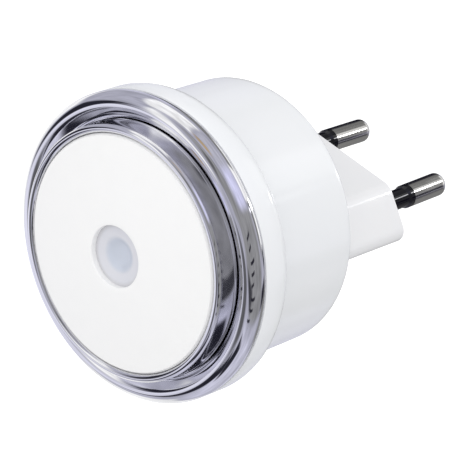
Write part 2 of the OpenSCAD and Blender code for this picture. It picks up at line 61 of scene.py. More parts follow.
# %% Units and the main depths
MM = 0.001
BODY_DEPTH = 30.2      # opal disc's edge to the housing's back
PLUG_LENGTH = 20.2     # housing's back to the plug's end face
REACH = BODY_DEPTH + PLUG_LENGTH


def depth(s):
    """Y in metres of a point s millimetres behind the opal disc's edge."""
    return (s - REACH) * MM


print("the disc's edge is at Y", round(depth(0), 4),
      "and the housing's back at Y", round(depth(BODY_DEPTH), 4))

# %% [markdown]
# ## One object at a time
#
# Blender's operators act on all that is selected, and the frame's pieces are selected when they
# are loaded. So `only` does what a click on one object does by hand: it clears the selection and
# takes that object. A finished piece has its place in its mesh, and its object sits unturned at
# the origin, because a pattern in a material follows the object and would slide otherwise.

# %% Taking one object and opening its mesh


def only(obj):
    """Selects one object and makes it the active one."""
    bpy.ops.object.select_all(action="DESELECT")
    obj.select_set(True)
    bpy.context.view_layer.objects.active = obj


def settle(obj):
    """Puts a piece's place into its mesh, so that its object sits unturned at the origin."""
    only(obj)
    bpy.ops.object.transform_apply(location=True, rotation=True, scale=True)


def open_mesh(obj):
    """Enters edit mode with nothing selected."""
    only(obj)
    bpy.ops.object.mode_set(mode="EDIT")
    bpy.ops.mesh.select_mode(type="VERT")
    bpy.ops.mesh.select_all(action="DESELECT")


def close_mesh():
    """Goes back to object mode, which writes the edits into the mesh."""
    bpy.ops.object.mode_set(mode="OBJECT")


print("the frame has", len(nodes), "nodes, and their meshes stay as they are")

# %% [markdown]
# ## Choosing points and edges
#
# By hand, points and edges are picked with the mouse. A script picks them by where they lie,
# which still works when a size changes. One function takes points and all that lies between
# them. The other takes single edges, because a bevel of one ring mustn't take in its neighbours.

# %% Choosing by place
HAIR = 0.004           # how near a point has to be to count as on a ring, in millimetres


def choose(obj, test):
    """Selects the vertices that pass a test of their place, and what lies between them."""
    bpy.ops.mesh.select_mode(type="VERT")
    bpy.ops.mesh.select_all(action="DESELECT")
    mesh = bmesh.from_edit_mesh(obj.data)
    for v in mesh.verts:
        if test(v.co):
            v.select_set(True)
    mesh.select_flush(True)
    bmesh.update_edit_mesh(obj.data)


def choose_edges(obj, test):
    """Selects the edges whose two ends pass a test together."""
    bpy.ops.mesh.select_mode(type="EDGE")
    bpy.ops.mesh.select_all(action="DESELECT")
    mesh = bmesh.from_edit_mesh(obj.data)
    for e in mesh.edges:
        e.select_set(test(e.verts[0].co, e.verts[1].co))
    bmesh.update_edit_mesh(obj.data)


def on_ring(r, s):
    """A test for the points of one ring."""
    def test(co):
        return (abs(math.hypot(co.x, co.z) - r * MM) < HAIR * MM
                and abs(co.y - depth(s)) < HAIR * MM)
    return test


print("a point counts as on a ring within", HAIR, "mm")

# %% [markdown]
# ## Turning a piece, as on a lathe
#
# The disc, both rings, the housing, the pins and the sleeves are turned shapes. In Blender such a
# shape can come from the Spin operator, from a Screw modifier, or from a circle that is extruded
# again and again. The last way is used here, because every step leaves a clean ring of edges
# that can be chosen later by its radius and depth, for a bevel. A circle is added at the first
# ring, and each further ring is one extrusion, moved along Y and scaled about the axis.
# A closed section ends where it began. An open one is closed at both ends, by one more ring that
# is drawn in to the axis.

# %% A turned piece from its rings
AROUND = 192           # points round a large ring
SMALL_AROUND = 96      # and round the window, a pin or a sleeve
MERGE = 0.5 * HAIR * MM


def turned(name, rings, around=AROUND, loop=True):
    """A turned piece from (radius, depth) rings. A loop joins the last ring to the first."""
    bpy.ops.object.select_all(action="DESELECT")
    r, s = rings[0]
    bpy.ops.mesh.primitive_circle_add(vertices=around, radius=r * MM, location=(0, depth(s), 0),
                                      rotation=(math.pi / 2, 0, 0))
    obj = bpy.context.active_object
    obj.name = obj.data.name = name
    settle(obj)
    open_mesh(obj)
    bpy.ops.mesh.select_all(action="SELECT")
    for r_next, s_next in rings[1:] + ([rings[0]] if loop else []):
        bpy.ops.mesh.extrude_edges_move(
            TRANSFORM_OT_translate={"value": (0, (s_next - s) * MM, 0)})
        grow = r_next / r
        bpy.ops.transform.resize(value=(grow, 1, grow), center_override=(0, depth(s_next), 0))
        r, s = r_next, s_next
    if loop:
        bpy.ops.mesh.select_all(action="SELECT")
        bpy.ops.mesh.remove_doubles(threshold=MERGE)
    else:
        for r, s in (rings[0], rings[-1]):
            choose(obj, on_ring(r, s))
            bpy.ops.mesh.extrude_edges_move(TRANSFORM_OT_translate={"value": (0, 0, 0)})
            bpy.ops.transform.resize(value=(0, 1, 0), center_override=(0, depth(s), 0))
            bpy.ops.mesh.remove_doubles(threshold=MERGE)
    bpy.ops.mesh.select_all(action="SELECT")
    bpy.ops.mesh.normals_make_consistent(inside=False)
    close_mesh()
    return obj


print("large rings have", AROUND, "points and small ones", SMALL_AROUND)

# %% [markdown]
# ## Round edges and curved sections
#
# No edge of a moulded or polished piece is perfectly sharp, and the thin bright line on a rounded
# edge is what makes it look solid. One sharp ring of edges is rounded with the bevel operator.
# Where the section is a long curve, as on the bead, its rings follow an arc instead: a bevel as
# wide as that would run into its neighbours.

# %% Bevels and arcs


def round_ring(obj, r, s, size, steps):
    """Rounds one ring of edges with a bevel."""
    open_mesh(obj)
    here = on_ring(r, s)
    choose_edges(obj, lambda a, b: here(a) and here(b))
    bpy.ops.mesh.bevel(offset=size * MM, segments=steps, profile=0.5, affect="EDGES")
    close_mesh()


def spread(first, last, steps):
    """Evenly spaced numbers from the first to the last."""
    return [first + (last - first) * i / steps for i in range(steps + 1)]


def arc(r, s, radius, start, end, steps):
    """Rings along an arc about (r, s). 0 degrees points outwards and 90 degrees backwards."""
    turn = [math.radians(angle) for angle in spread(start, end, steps)]
    return [(r + radius * math.cos(a), s + radius * math.sin(a)) for a in turn]


print("a quarter arc in two steps:",
      [(round(r, 2), round(s, 2)) for r, s in arc(0, 0, 1, 0, 90, 2)])

# %% [markdown]
# ## Finishing a piece
#
# The last steps are the same for all pieces. Faces that meet at less than 35 degrees are shaded as
# one smooth skin, and sharper edges stay crisp. The piece then rides on the frame's body and
# stands for one node of the frame, which is hidden.

# %% Shading, body and node


def finish_piece(obj, node, angle=35):
    """Smooth shading, its place in the frame and the node that it stands for."""
    settle(obj)
    bpy.ops.object.shade_smooth_by_angle(angle=math.radians(angle))
    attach(obj, "root")
    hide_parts(node)
    print(f"{obj.name}: {len(obj.data.polygons)} faces, size in mm",
          [round(v / MM, 2) for v in obj.dimensions])


# %% [markdown]
# ## The opal disc
#
# The disc is a thin shallow dome of milky plastic with a hole for the sensor window, and a rim
# that the inner chrome ring holds down. A sphere could be sliced for the dome, but rings whose
# depth follows the circle's formula give the same curve and keep the hole, the rim and the
# inside in one mesh.

# %% Model the disc
DISC_R = 19.5
WINDOW_R = 5.1         # the hole for the sensor window
DISC_BULGE = 1.5       # how far the dome rises over the disc's edge
DISC_WALL = 1.6
CHAMFER = 0.3          # the small slant at the disc's edge
RIM_R = 20.2           # the hidden rim under the inner chrome ring
RIM_FRONT = 1.05
RIM_BACK = 2.05
DOME_R = (DISC_R ** 2 + DISC_BULGE ** 2) / (2 * DISC_BULGE)


def dome(r, inside=0.0):
    """Depth of the disc's front at a radius, or of the shell that lies inside it."""
    return DOME_R - DISC_BULGE - math.sqrt((DOME_R - inside) ** 2 - r * r)


low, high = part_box("opal_disc")
print("the solid disc lies between Y", round(low.y, 5), "and", round(high.y, 5),
      "and the drawn one between", round(depth(dome(WINDOW_R)), 5), "and",
      round(depth(RIM_BACK), 5))

front = spread(WINDOW_R, DISC_R - CHAMFER, 14)
back = spread(WINDOW_R, DISC_R - DISC_WALL, 8)
disc = turned("opal_disc_dome",
              [(r, dome(r)) for r in front]
              + [(DISC_R, CHAMFER), (DISC_R, RIM_FRONT), (RIM_R, RIM_FRONT), (RIM_R, RIM_BACK),
                 (back[-1], RIM_BACK)]
              + [(r, dome(r, DISC_WALL)) for r in reversed(back)])
round_ring(disc, WINDOW_R, dome(WINDOW_R), 0.12, 3)
round_ring(disc, DISC_R, CHAMFER, 0.14, 3)
finish_piece(disc, "opal_disc")

# %% [markdown]
# ## The sensor window
#
# The small window lies a millimetre below the disc. It is a round plug of milky plastic whose
# middle is thinner, so that the dusk sensor behind it sees the room. In the photographed light
# that thin middle shows as a slightly deeper and bluer spot. A bump in the material could fake
# the dip, but it would vanish from the side, so it is modelled as a small bowl with soft edges.

# %% Model the window
WINDOW_S = -0.4        # depth of the window's face: less than the edge's, because the disc bulges
WINDOW_THICK = 1.3
FACE_R = 5.09
FOOT_R = 6.1           # the wider foot behind the disc
FOOT_FRONT = 0.85
BOWL = ((0.6, 0.8), (1.4, 0.76), (2.0, 0.6), (2.5, 0.3), (2.9, 0.08), (3.3, 0))   # radius and dip
window = turned("sensor_window_lens",
                [(r, WINDOW_S + dip) for r, dip in BOWL]
                + [(FACE_R, WINDOW_S), (FACE_R, FOOT_FRONT), (FOOT_R, FOOT_FRONT),
                   (FOOT_R, WINDOW_S + WINDOW_THICK), (BOWL[0][0], WINDOW_S + WINDOW_THICK)],
                around=SMALL_AROUND, loop=False)
for r, dip in BOWL[2:5]:
    round_ring(window, r, WINDOW_S + dip, 0.2, 3)
finish_piece(window, "sensor_window")

# %% [markdown]
# ## The inner chrome ring
#
# The ring next to the disc has a small rounded lip and then a steep band that drops to the dark
# joint line. The lip is a little roll that tucks in under itself: its tucked side mirrors the
# bright backdrop and draws the thin white line, and the tuck itself draws a thin dark one. A
# bevel can't tuck in, so the lip is two arcs of rings, and the outer one is carried on for a few
# degrees past its widest point. A small round foot at the band's end catches one more line, just
# before the joint.

# %% Model the inner ring
LIP_IN_R = 19.58       # the lip's inner edge, beside the disc
LIP_R = 20.95
LIP_BULGE = 0.75       # radius of the lip's inner arc
BULGE_S = 0.585        # and the depth of its middle
LIP_ROLL = 0.62        # radius of its outer arc
ROLL_S = 0.45
LIP_TURN = 262         # degrees at which the inner arc hands over to the outer one
LIP_TUCK = 24          # degrees that the lip runs on past its widest point
LIP_FOOT = 0.95
BAND_TOP = (20.84, 0.86)
BAND_END = (20.98, 3.35)
FOOT_S = 3.6
JOINT_R = 21.2         # the dark joint line between the two chrome rings
HALF_GROOVE = 0.06
BEZEL_IN_R = 20.35
BEZEL_OUT_R = JOINT_R - HALF_GROOVE
BEZEL_BACK = 5.0
bezel = turned("inner_chrome_ring",
               [(LIP_IN_R, LIP_FOOT)]
               + arc(LIP_IN_R + LIP_BULGE, BULGE_S, LIP_BULGE, 180, LIP_TURN, 14)
               + arc(LIP_R - LIP_ROLL, ROLL_S, LIP_ROLL, LIP_TURN, 360 + LIP_TUCK, 20)
               + [BAND_TOP, BAND_END, (BEZEL_OUT_R, FOOT_S), (BEZEL_OUT_R, BEZEL_BACK),
                  (BEZEL_IN_R, BEZEL_BACK), (BEZEL_IN_R, LIP_FOOT)])
round_ring(bezel, *BAND_END, 0.12, 3)
round_ring(bezel, BEZEL_OUT_R, FOOT_S, 0.05, 3)
finish_piece(bezel, "bezel_ring")

# %% [markdown]
# ## The outer chrome ring
#
# This ring is a fat rounded bead. From the joint line an inner face slants up to a crisp edge,
# and from there the bead swells forward, turns over at the outside and ends square on the white
# housing. A torus could be cut for it, but its section isn't round: it is a little deeper than
# wide and, like the lip, tucks in before it meets the housing, where it draws a white line. So
# the section is a stretched arc of rings, fine enough for a mirror finish. Behind it, out of
# sight, a skirt snaps into the housing and a ledge carries the inner ring.

# %% Model the outer ring
FLANGE_R = 25.5        # outer radius of the bead and of the white flange behind it
RING_DEPTH = 5.8       # depth at which the chrome ends on the flange
WALL = 1.9             # the housing's wall
JOINT_S = 3.9          # depth of the joint line
EDGE_R = 22.65         # where the inner face meets the bead
BEAD_R = 1.9
BEAD_DEPTH = 2.3       # what the bead's radius becomes along the axis
BEAD_S = 4.78          # depth of its widest point
BEAD_END_R = 25.2
TUCK = 22              # degrees that the bead runs on past its widest point
bead_r = FLANGE_R - BEAD_R
start = 180 + math.degrees(math.acos((bead_r - EDGE_R) / BEAD_R))
bead = [(r, BEAD_S + (s - BEAD_S) * BEAD_DEPTH / BEAD_R)
        for r, s in arc(bead_r, BEAD_S, BEAD_R, start, 360 + TUCK, 44)]
edge_s = bead[0][1]
print("the inner face rises", round(JOINT_S - edge_s, 2), "mm to the bead's edge")

LEDGE_R = 20.65
LEDGE_FRONT = 5.1
LEDGE_BACK = 6.1
SKIRT_GAP = 0.15       # between the skirt and the housing's wall
SKIRT_WALL = 1
SKIRT_END = 8.0
SNAP = ((0, 6.45), (0.3, 6.75), (0.3, 7.15), (0, 7.45))   # the skirt's snap: height and depth
skirt_r = FLANGE_R - WALL - SKIRT_GAP
skirt_in = skirt_r - SKIRT_WALL
trim_in = JOINT_R + HALF_GROOVE
trim = turned("outer_chrome_ring",
              bead + [(BEAD_END_R, RING_DEPTH), (skirt_r, RING_DEPTH)]
              + [(skirt_r + out, s) for out, s in SNAP]
              + [(skirt_r, SKIRT_END), (skirt_in, SKIRT_END), (skirt_in, LEDGE_BACK),
                 (LEDGE_R, LEDGE_BACK), (LEDGE_R, LEDGE_FRONT), (trim_in, LEDGE_FRONT),
                 (trim_in, JOINT_S)])
round_ring(trim, EDGE_R, edge_s, 0.12, 3)
round_ring(trim, trim_in, JOINT_S, 0.05, 2)
finish_piece(trim, "trim_ring")

# %% [markdown]
# ## The housing
#
# The white shell starts as a flange of the ring's own width, turns over a soft shoulder and a
# soft hollow, and runs back as a barrel that narrows a little. A bevel on a step could make the
# shoulder, but here it is two arcs that meet in one tangent, which is why their common angle is
# worked out and not typed. Smooth shading averages the slope of the faces that meet at a ring.
# Next to a tight curve that would bend the long straight barrel's highlight, so a few more rings
# on the barrel keep its shading straight.

# %% Model the housing's shell
BARREL_R = 22.5
BACK_R = BARREL_R - 0.2
BACK_ROUND = 1.2
SHOULDER_R = 2.4
HOLLOW_R = 1.6
FLANGE_WIDTH = 3.7     # the flange's straight side
SHOULDER_S = RING_DEPTH + FLANGE_WIDTH
STEP_S = 9.9           # depth at which the inside narrows from the flange to the barrel
CORE_R = 1.0           # a small hole that the plug's opening swallows
swing = math.degrees(math.acos(1 - (FLANGE_R - BARREL_R) / (SHOULDER_R + HOLLOW_R)))
hollow_s = SHOULDER_S + (SHOULDER_R + HOLLOW_R) * math.sin(math.radians(swing))
print("the shoulder turns through", round(swing, 2), "degrees and ends at", round(hollow_s, 2))

shoulder = arc(FLANGE_R - SHOULDER_R, SHOULDER_S, SHOULDER_R, 0, swing, 12)
hollow = arc(BARREL_R + HOLLOW_R, hollow_s, HOLLOW_R, 180 + swing, 180, 12)
barrel = [(22.49, hollow_s + 0.5), (22.4, 20.0), (22.31, BODY_DEPTH - 1.8)]
back_edge = arc(BACK_R - BACK_ROUND, BODY_DEPTH - BACK_ROUND, BACK_ROUND, 0, 90, 8)
housing = turned("housing_shell",
                 [(FLANGE_R, RING_DEPTH)] + shoulder + hollow[1:] + barrel + back_edge
                 + [(18.0, BODY_DEPTH), (CORE_R, BODY_DEPTH), (CORE_R, BODY_DEPTH - WALL),
                    (BACK_R - WALL, BODY_DEPTH - WALL), (BACK_R - WALL, STEP_S),
                    (FLANGE_R - WALL, STEP_S), (FLANGE_R - WALL, RING_DEPTH)])
round_ring(housing, FLANGE_R, RING_DEPTH, 0.1, 2)

# %% [markdown]
# ## A six-sided bar
#
# The plug body is a long six-sided bar: two flat sides, four slanted ones and two narrow noses.
# It could be drawn as a curve and given a depth, but a cylinder with six sides is almost that
# shape already. Its corners are moved to their places, and its long edges are bevelled, each
# kind with its own radius. The same function makes the slightly wider copy that cuts the opening
# in the housing's back wall.

# %% The bar
PLUG_W = 34.4
PLUG_H = 12.9
NOSE_R = 2.2
FLAT_R = 3.0


def plug_bar(name, s0, s1, grow=0.0):
    """The plug body's six-sided bar between two depths, or a copy grown on all sides."""
    nose = NOSE_R + grow
    flat = FLAT_R + grow
    half_h = PLUG_H / 2 + grow
    reach = PLUG_W / 2 + grow - nose + nose * math.sqrt(2)
    bpy.ops.object.select_all(action="DESELECT")
    bpy.ops.mesh.primitive_cylinder_add(vertices=6, radius=reach * MM, depth=(s1 - s0) * MM,
                                        location=(0, depth((s0 + s1) / 2), 0),
                                        rotation=(math.pi / 2, 0, 0))
    obj = bpy.context.active_object
    obj.name = obj.data.name = name
    settle(obj)
    obj.rotation_euler.y = math.pi / 6     # its corners come to lie at the sides
    settle(obj)
    open_mesh(obj)
    mesh = bmesh.from_edit_mesh(obj.data)
    tall = max(v.co.z for v in mesh.verts)
    wide = max(v.co.x for v in mesh.verts if v.co.z > tall / 2)
    choose(obj, lambda co: abs(co.z) > tall / 2)
    bpy.ops.transform.resize(value=((reach - half_h) * MM / wide, 1, half_h * MM / tall),
                             center_override=(0, 0, 0))
    near = HAIR * MM
    # A rounding of radius r starts r * tan(angle / 2) from the corner. The sides turn by
    # 45 degrees between a flat and a slanted one, and by 90 degrees at a nose
    for height, size in ((half_h, flat * math.tan(math.radians(22.5))), (0, nose)):
        choose_edges(obj, lambda a, b: (abs(a.y - b.y) > near
                                        and abs(abs(a.z) - height * MM) < near
                                        and abs(abs(b.z) - height * MM) < near))
        bpy.ops.mesh.bevel(offset=size * MM, segments=8, profile=0.5, affect="EDGES")
    close_mesh()
    return obj


print("the bar is", PLUG_W, "mm wide and", PLUG_H, "mm high")

# %% [markdown]
# ## The opening for the plug body
#
# The plug body is a moulding of its own, pushed through the back wall from the inside. A hole of
# this shape could be built into the wall's mesh, but a Boolean modifier cuts it from a finished
# shape in one step. The cutter is 0.15 mm larger all round than the plug, so that a thin dark
# gap remains round it, as between any two moulded pieces.

# %% Cut the opening and finish the housing
OPENING_GAP = 0.15
OVERRUN = 1            # how far the cutter reaches past the wall on both sides


def join_or_cut(obj, tool, operation):
    """Joins a tool to a piece, or cuts it out, and takes the tool away."""
    only(obj)
    boolean = obj.modifiers.new("boolean", "BOOLEAN")
    boolean.object = tool
    boolean.operation = operation
    boolean.solver = "EXACT"
    bpy.ops.object.modifier_apply(modifier=boolean.name)
    bpy.data.objects.remove(tool, do_unlink=True)


join_or_cut(housing, plug_bar("opening", BODY_DEPTH - WALL - OVERRUN, BODY_DEPTH + OVERRUN,
                              grow=OPENING_GAP), "DIFFERENCE")
finish_piece(housing, "rear_housing")

# %% [markdown]
# ## Where the pins stand
#
# The two pins are a little closer together at their tips than at the plug, so that they grip the
# socket. The lean of each pin follows from the two distances and the pins' length. A pin, its
# sleeve and its bore are turned about the light's own axis, where turning is easy, and one small
# function then stands each of them on its own leaning line.

# %% The pins' lines
PITCH = 18.6           # between the pins' middles at the plug
TIP_PITCH = 17.9
PIN_LENGTH = 19.0
LEAN = math.asin((PITCH - TIP_PITCH) / 2 / PIN_LENGTH)


def stand_on_pin(obj, side):
    """Moves a piece turned about the light's own axis to one pin's line."""
    obj.matrix_world = (Matrix.Translation((side * PITCH / 2 * MM, 0, 0))
                        @ Matrix.Rotation(side * LEAN, 4, "Z"))
    settle(obj)
    return obj


print("each pin leans inwards by", round(math.degrees(LEAN), 3), "degrees")

# %% [markdown]
# ## The plug body
#
# The plug body is the bar itself, with a wider flange at its inner end that stops it at the back
# wall. A second, wider bar is joined to it for that, so the flange follows its shape. Each pin
# runs in a stepped bore: narrow at the back, and wider in front where the sleeve sits. The end
# face gets an inset, which keeps the rounded edges' shading off the flat.

# %% Model the plug body
FLANGE_S = BODY_DEPTH - WALL - 2
FLANGE_GROW = 1.5
INSET = 0.3
BORE_R = 1.25
WIDE_BORE_R = 1.75
BORE_STEP = REACH - 6.1
BORE_OVERRUN = 2       # how far a bore's tool reaches past both ends
body = plug_bar("plug_bar", FLANGE_S, REACH)
join_or_cut(body, plug_bar("inner_flange", FLANGE_S, BODY_DEPTH - WALL, grow=FLANGE_GROW), "UNION")
open_mesh(body)
choose(body, lambda co: abs(co.y) < 1e-6)
bpy.ops.mesh.select_mode(type="FACE")
bpy.ops.mesh.inset(thickness=INSET * MM)
close_mesh()
for side in (-1, 1):
    bore = turned("stepped_bore",
                  [(BORE_R, FLANGE_S - BORE_OVERRUN), (BORE_R, BORE_STEP),
                   (WIDE_BORE_R, BORE_STEP), (WIDE_BORE_R, REACH + BORE_OVERRUN)],
                  around=48, loop=False)
    join_or_cut(body, stand_on_pin(bore, side), "DIFFERENCE")
finish_piece(body, "plug_body")

# %% [markdown]
# ## Pins and sleeves
#
# The metal pins are thin in the plug body, where they end in a small foot, and full width at
# their bare, rounded ends. Between these they wear black sleeves, thinner than the bare end, with
# a short thick collar where the metal starts. All of it is turned. A mirror copy could serve for
# the second pair, but one loop with two sides does the same and gives each its own mesh. The
# sleeves are shaded smooth below 25 degrees only, so that the collar's slope stays a crisp step.

# %% Model the pins and the sleeves
PIN_R = 2.0
SHANK_R = 1.2          # the pin inside its sleeve and in the plug body
HEAD_R = 1.8           # its foot inside the housing
TIP_ROUND = 1.1
SLEEVE_R = 1.7
SLEEVE_ROOT = REACH - 6
COLLAR_START = REACH + 8.7
COLLAR_FULL = REACH + 9.2
SLEEVE_END = REACH + 10
METAL_S = REACH + 10.1           # where the bare metal starts
INNER_END = FLANGE_S - 1.0
HEAD_THICK = 1
tip_s = REACH + PIN_LENGTH - TIP_ROUND
before_tip = REACH + PIN_LENGTH - 1.5   # one more ring, which keeps the shading straight
for side, word in ((-1, "left"), (1, "right")):
    pin = turned("pin_" + word,
                 [(HEAD_R, INNER_END - HEAD_THICK), (HEAD_R, INNER_END), (SHANK_R, INNER_END),
                  (SHANK_R, METAL_S), (PIN_R, METAL_S), (PIN_R, before_tip), (PIN_R, tip_s)]
                 + arc(PIN_R - TIP_ROUND, tip_s, TIP_ROUND, 0, 90, 10)[1:],
                 around=SMALL_AROUND, loop=False)
    stand_on_pin(pin, side)
    finish_piece(pin, "plug_pin_" + word)
    sleeve = turned("sleeve_" + word,
                    [(BORE_R, SLEEVE_ROOT), (SLEEVE_R, SLEEVE_ROOT), (SLEEVE_R, COLLAR_START),
                     (PIN_R, COLLAR_FULL), (PIN_R, SLEEVE_END), (BORE_R, SLEEVE_END)],
                    around=SMALL_AROUND)
    stand_on_pin(sleeve, side)
    finish_piece(sleeve, "pin_sleeve_" + word, angle=25)

# %% [markdown]
# ## Uneven surfaces
#
# Plastics and metals differ mainly in three sockets of the Principled shader: base colour,
# metallic and roughness. What makes them believable is small: a moulded or plated surface is
# never perfectly even, so its roughness and its slope wander a little. Each material could have
# its own noise nodes for that. One node group, built once and used by every material, is less
# to read, and each material gives it its own numbers.

# %% A node group for uneven surfaces
NOISE_LOW, NOISE_HIGH = 0.3, 0.7       # nearly all of Blender's noise lies between these


def uneven_surface():
    """A group that puts out a slowly wandering roughness, a faint normal and a mask."""
    group = bpy.data.node_groups.new("Uneven surface", "ShaderNodeTree")
    add_socket = group.interface.new_socket
    for name, value in (("Scale", 200.0), ("Least roughness", 0.1), ("Most roughness", 0.2),
                        ("Waviness", 0.1), ("Wave height", 0.00002)):
        socket = add_socket(name=name, in_out="INPUT", socket_type="NodeSocketFloat")
        socket.default_value = value
    for name, kind in (("Roughness", "Float"), ("Normal", "Vector"), ("Mask", "Float")):
        add_socket(name=name, in_out="OUTPUT", socket_type="NodeSocket" + kind)
    tree, link = group.nodes, group.links.new
    start_node = tree.new("NodeGroupInput")
    end_node = tree.new("NodeGroupOutput")
    place_node = tree.new("ShaderNodeTexCoord")
    noise = tree.new("ShaderNodeTexNoise")
    noise.inputs["Detail"].default_value = 3.0
    link(place_node.outputs["Object"], noise.inputs["Vector"])
    link(start_node.outputs["Scale"], noise.inputs["Scale"])
    rough = tree.new("ShaderNodeMapRange")
    rough.inputs["From Min"].default_value = NOISE_LOW
    rough.inputs["From Max"].default_value = NOISE_HIGH
    link(noise.outputs["Fac"], rough.inputs["Value"])
    link(start_node.outputs["Least roughness"], rough.inputs["To Min"])
    link(start_node.outputs["Most roughness"], rough.inputs["To Max"])
    bump = tree.new("ShaderNodeBump")
    link(start_node.outputs["Waviness"], bump.inputs["Strength"])
    link(start_node.outputs["Wave height"], bump.inputs["Distance"])
    link(noise.outputs["Fac"], bump.inputs["Height"])
    link(rough.outputs["Result"], end_node.inputs["Roughness"])
    link(bump.outputs["Normal"], end_node.inputs["Normal"])
    link(noise.outputs["Fac"], end_node.inputs["Mask"])
    return group


UNEVEN = uneven_surface()
print("the group", UNEVEN.name, "has", len(UNEVEN.nodes), "nodes")

# %% [markdown]
# ## A material from a few numbers
#
# All finishes of this light have the same build: two close colours that the group's mask mixes,
# a roughness between two values, a faint waviness, and plain values such as Metallic, which stay
# on the shader's own sockets. So one function makes them all, and the next cells read like a
# maker's list of finishes.

# %% Making a finish and putting it on


def finish_of(name, colour, second, rough, scale=200.0, wave=(0.1, 0.00002), **plain):
    """A material from a colour, a second one that it wanders towards, and plain sockets."""
    material = bpy.data.materials.new(name)
    material.use_nodes = True
    tree, link = material.node_tree.nodes, material.node_tree.links.new
    shader = tree["Principled BSDF"]
    uneven = tree.new("ShaderNodeGroup")
    uneven.node_tree = UNEVEN
    for socket, value in (("Scale", scale), ("Least roughness", rough[0]),
                          ("Most roughness", rough[1]), ("Waviness", wave[0]),
                          ("Wave height", wave[1])):
        uneven.inputs[socket].default_value = value
    mix = tree.new("ShaderNodeMix")
    mix.data_type = "RGBA"
    mix.inputs["A"].default_value = (*colour, 1)
    mix.inputs["B"].default_value = (*second, 1)
    link(uneven.outputs["Mask"], mix.inputs["Factor"])
    link(mix.outputs["Result"], shader.inputs["Base Color"])
    link(uneven.outputs["Roughness"], shader.inputs["Roughness"])
    link(uneven.outputs["Normal"], shader.inputs["Normal"])
    for socket, value in plain.items():
        shader.inputs[socket].default_value = value
    return material


def dress(obj, material):
    """Gives a piece or a carried-over node one material."""
    obj.data.materials.clear()
    obj.data.materials.append(material)


print("a new finish wanders at scale 200 unless it says otherwise")

# %% [markdown]
# ## The finishes that show
#
# The chrome is nearly white metal, and so smooth that it only shows the room. The disc is milky
# plastic with a soft shine, and the housing and the plug are glossy white, the plug a shade
# warmer. The pins are nickel, a darker and yellower metal than chrome. The sleeves are smooth
# black plastic. Each pair of colours is close, as two spots on one real piece are.

# %% The finishes
CHROME = finish_of("plated_chrome", (0.9, 0.9, 0.92), (0.84, 0.84, 0.87), (0.03, 0.07),
                   scale=140, wave=(0.12, 0.00003), Metallic=1.0)
OPAL = finish_of("opal_plastic", (0.93, 0.93, 0.93), (0.95, 0.95, 0.95), (0.4, 0.5), scale=400)
FROST = finish_of("frosted_window", (0.7, 0.71, 0.77), (0.73, 0.73, 0.77), (0.3, 0.35), scale=300)
HOUSING = finish_of("white_gloss_plastic", (0.80, 0.815, 0.84), (0.83, 0.84, 0.86), (0.1, 0.16),
                    scale=90, wave=(0.1, 0.00004))
PLUG = finish_of("plug_plastic", (0.79, 0.795, 0.82), (0.82, 0.82, 0.83), (0.12, 0.18), scale=150)
NICKEL = finish_of("nickel_plate", (0.78, 0.77, 0.75), (0.62, 0.61, 0.6), (0.08, 0.16),
                   scale=500, Metallic=1.0)
SLEEVE = finish_of("black_sleeve", (0.003, 0.003, 0.005), (0.005, 0.005, 0.008), (0.05, 0.1),
                   scale=700, IOR=1.45)
print("with seven new finishes the file has", len(bpy.data.materials), "materials")

# %% [markdown]
# ## Rings of tint on the window
#
# The window isn't one colour: its thin middle is bluer than the rest. The grey round its rim is
# painted shade, where the wall of its recess in the disc shades it. Two more materials could be
# put on its faces, but they would meet at hard borders. Here the distance from the light's axis,
# read from the Object coordinates, mixes a tint in softly.

# %% Tint the window


def tint_by_radius(material, colour, radius_in, radius_out):
    """Mixes a colour in, from one radius round the light's axis to another one, in millimetres."""
    tree, link = material.node_tree.nodes, material.node_tree.links.new
    shader = tree["Principled BSDF"]
    place = tree.new("ShaderNodeTexCoord")
    flat = tree.new("ShaderNodeVectorMath")
    flat.operation = "MULTIPLY"
    flat.inputs[1].default_value = (1, 0, 1)
    link(place.outputs["Object"], flat.inputs[0])
    length = tree.new("ShaderNodeVectorMath")
    length.operation = "LENGTH"
    link(flat.outputs["Vector"], length.inputs[0])
    mask = tree.new("ShaderNodeMapRange")
    mask.interpolation_type = "SMOOTHSTEP"
    mask.inputs["From Min"].default_value = radius_in * MM
    mask.inputs["From Max"].default_value = radius_out * MM
    link(length.outputs["Value"], mask.inputs["Value"])
    mix = tree.new("ShaderNodeMix")
    mix.data_type = "RGBA"
    link(shader.inputs["Base Color"].links[0].from_socket, mix.inputs["A"])
    mix.inputs["B"].default_value = (*colour, 1)
    link(mask.outputs["Result"], mix.inputs["Factor"])
    link(mix.outputs["Result"], shader.inputs["Base Color"])


tint_by_radius(FROST, (0.6, 0.64, 0.73), 3.3, 2.3)
# Painted shade: a grey ring on the window's outer edge, where the recess wall shades it.
tint_by_radius(FROST, (0.62, 0.62, 0.65), 4.2, 5.0)
print("the window's material has", len(FROST.node_tree.nodes), "nodes")

# %% [markdown]
# ## Dressing the new pieces
#
# A material shows on a piece once it is in the first of its slots. A Boolean can bring slots of
# its own along, so they are cleared first. Each of the ten new pieces gets its finish here.

# %% Dress the new pieces
DRESSED = {disc: OPAL, window: FROST, bezel: CHROME, trim: CHROME, housing: HOUSING, body: PLUG}
for word in ("left", "right"):
    DRESSED[bpy.data.objects["pin_" + word]] = NICKEL
    DRESSED[bpy.data.objects["sleeve_" + word]] = SLEEVE
for piece, material in DRESSED.items():
    dress(piece, material)
print("dressed", len(DRESSED), "new pieces")

# %% [markdown]
# ## The pieces inside
#
# The board and its parts are carried over from the frame as they are. They don't show in use,
# but the light can be opened or cut in a picture, so each gets the finish of the real thing.
# A table says it in the fewest lines: the finish, how metallic it is, its two colours, its
# roughness, and the nodes that wear it.

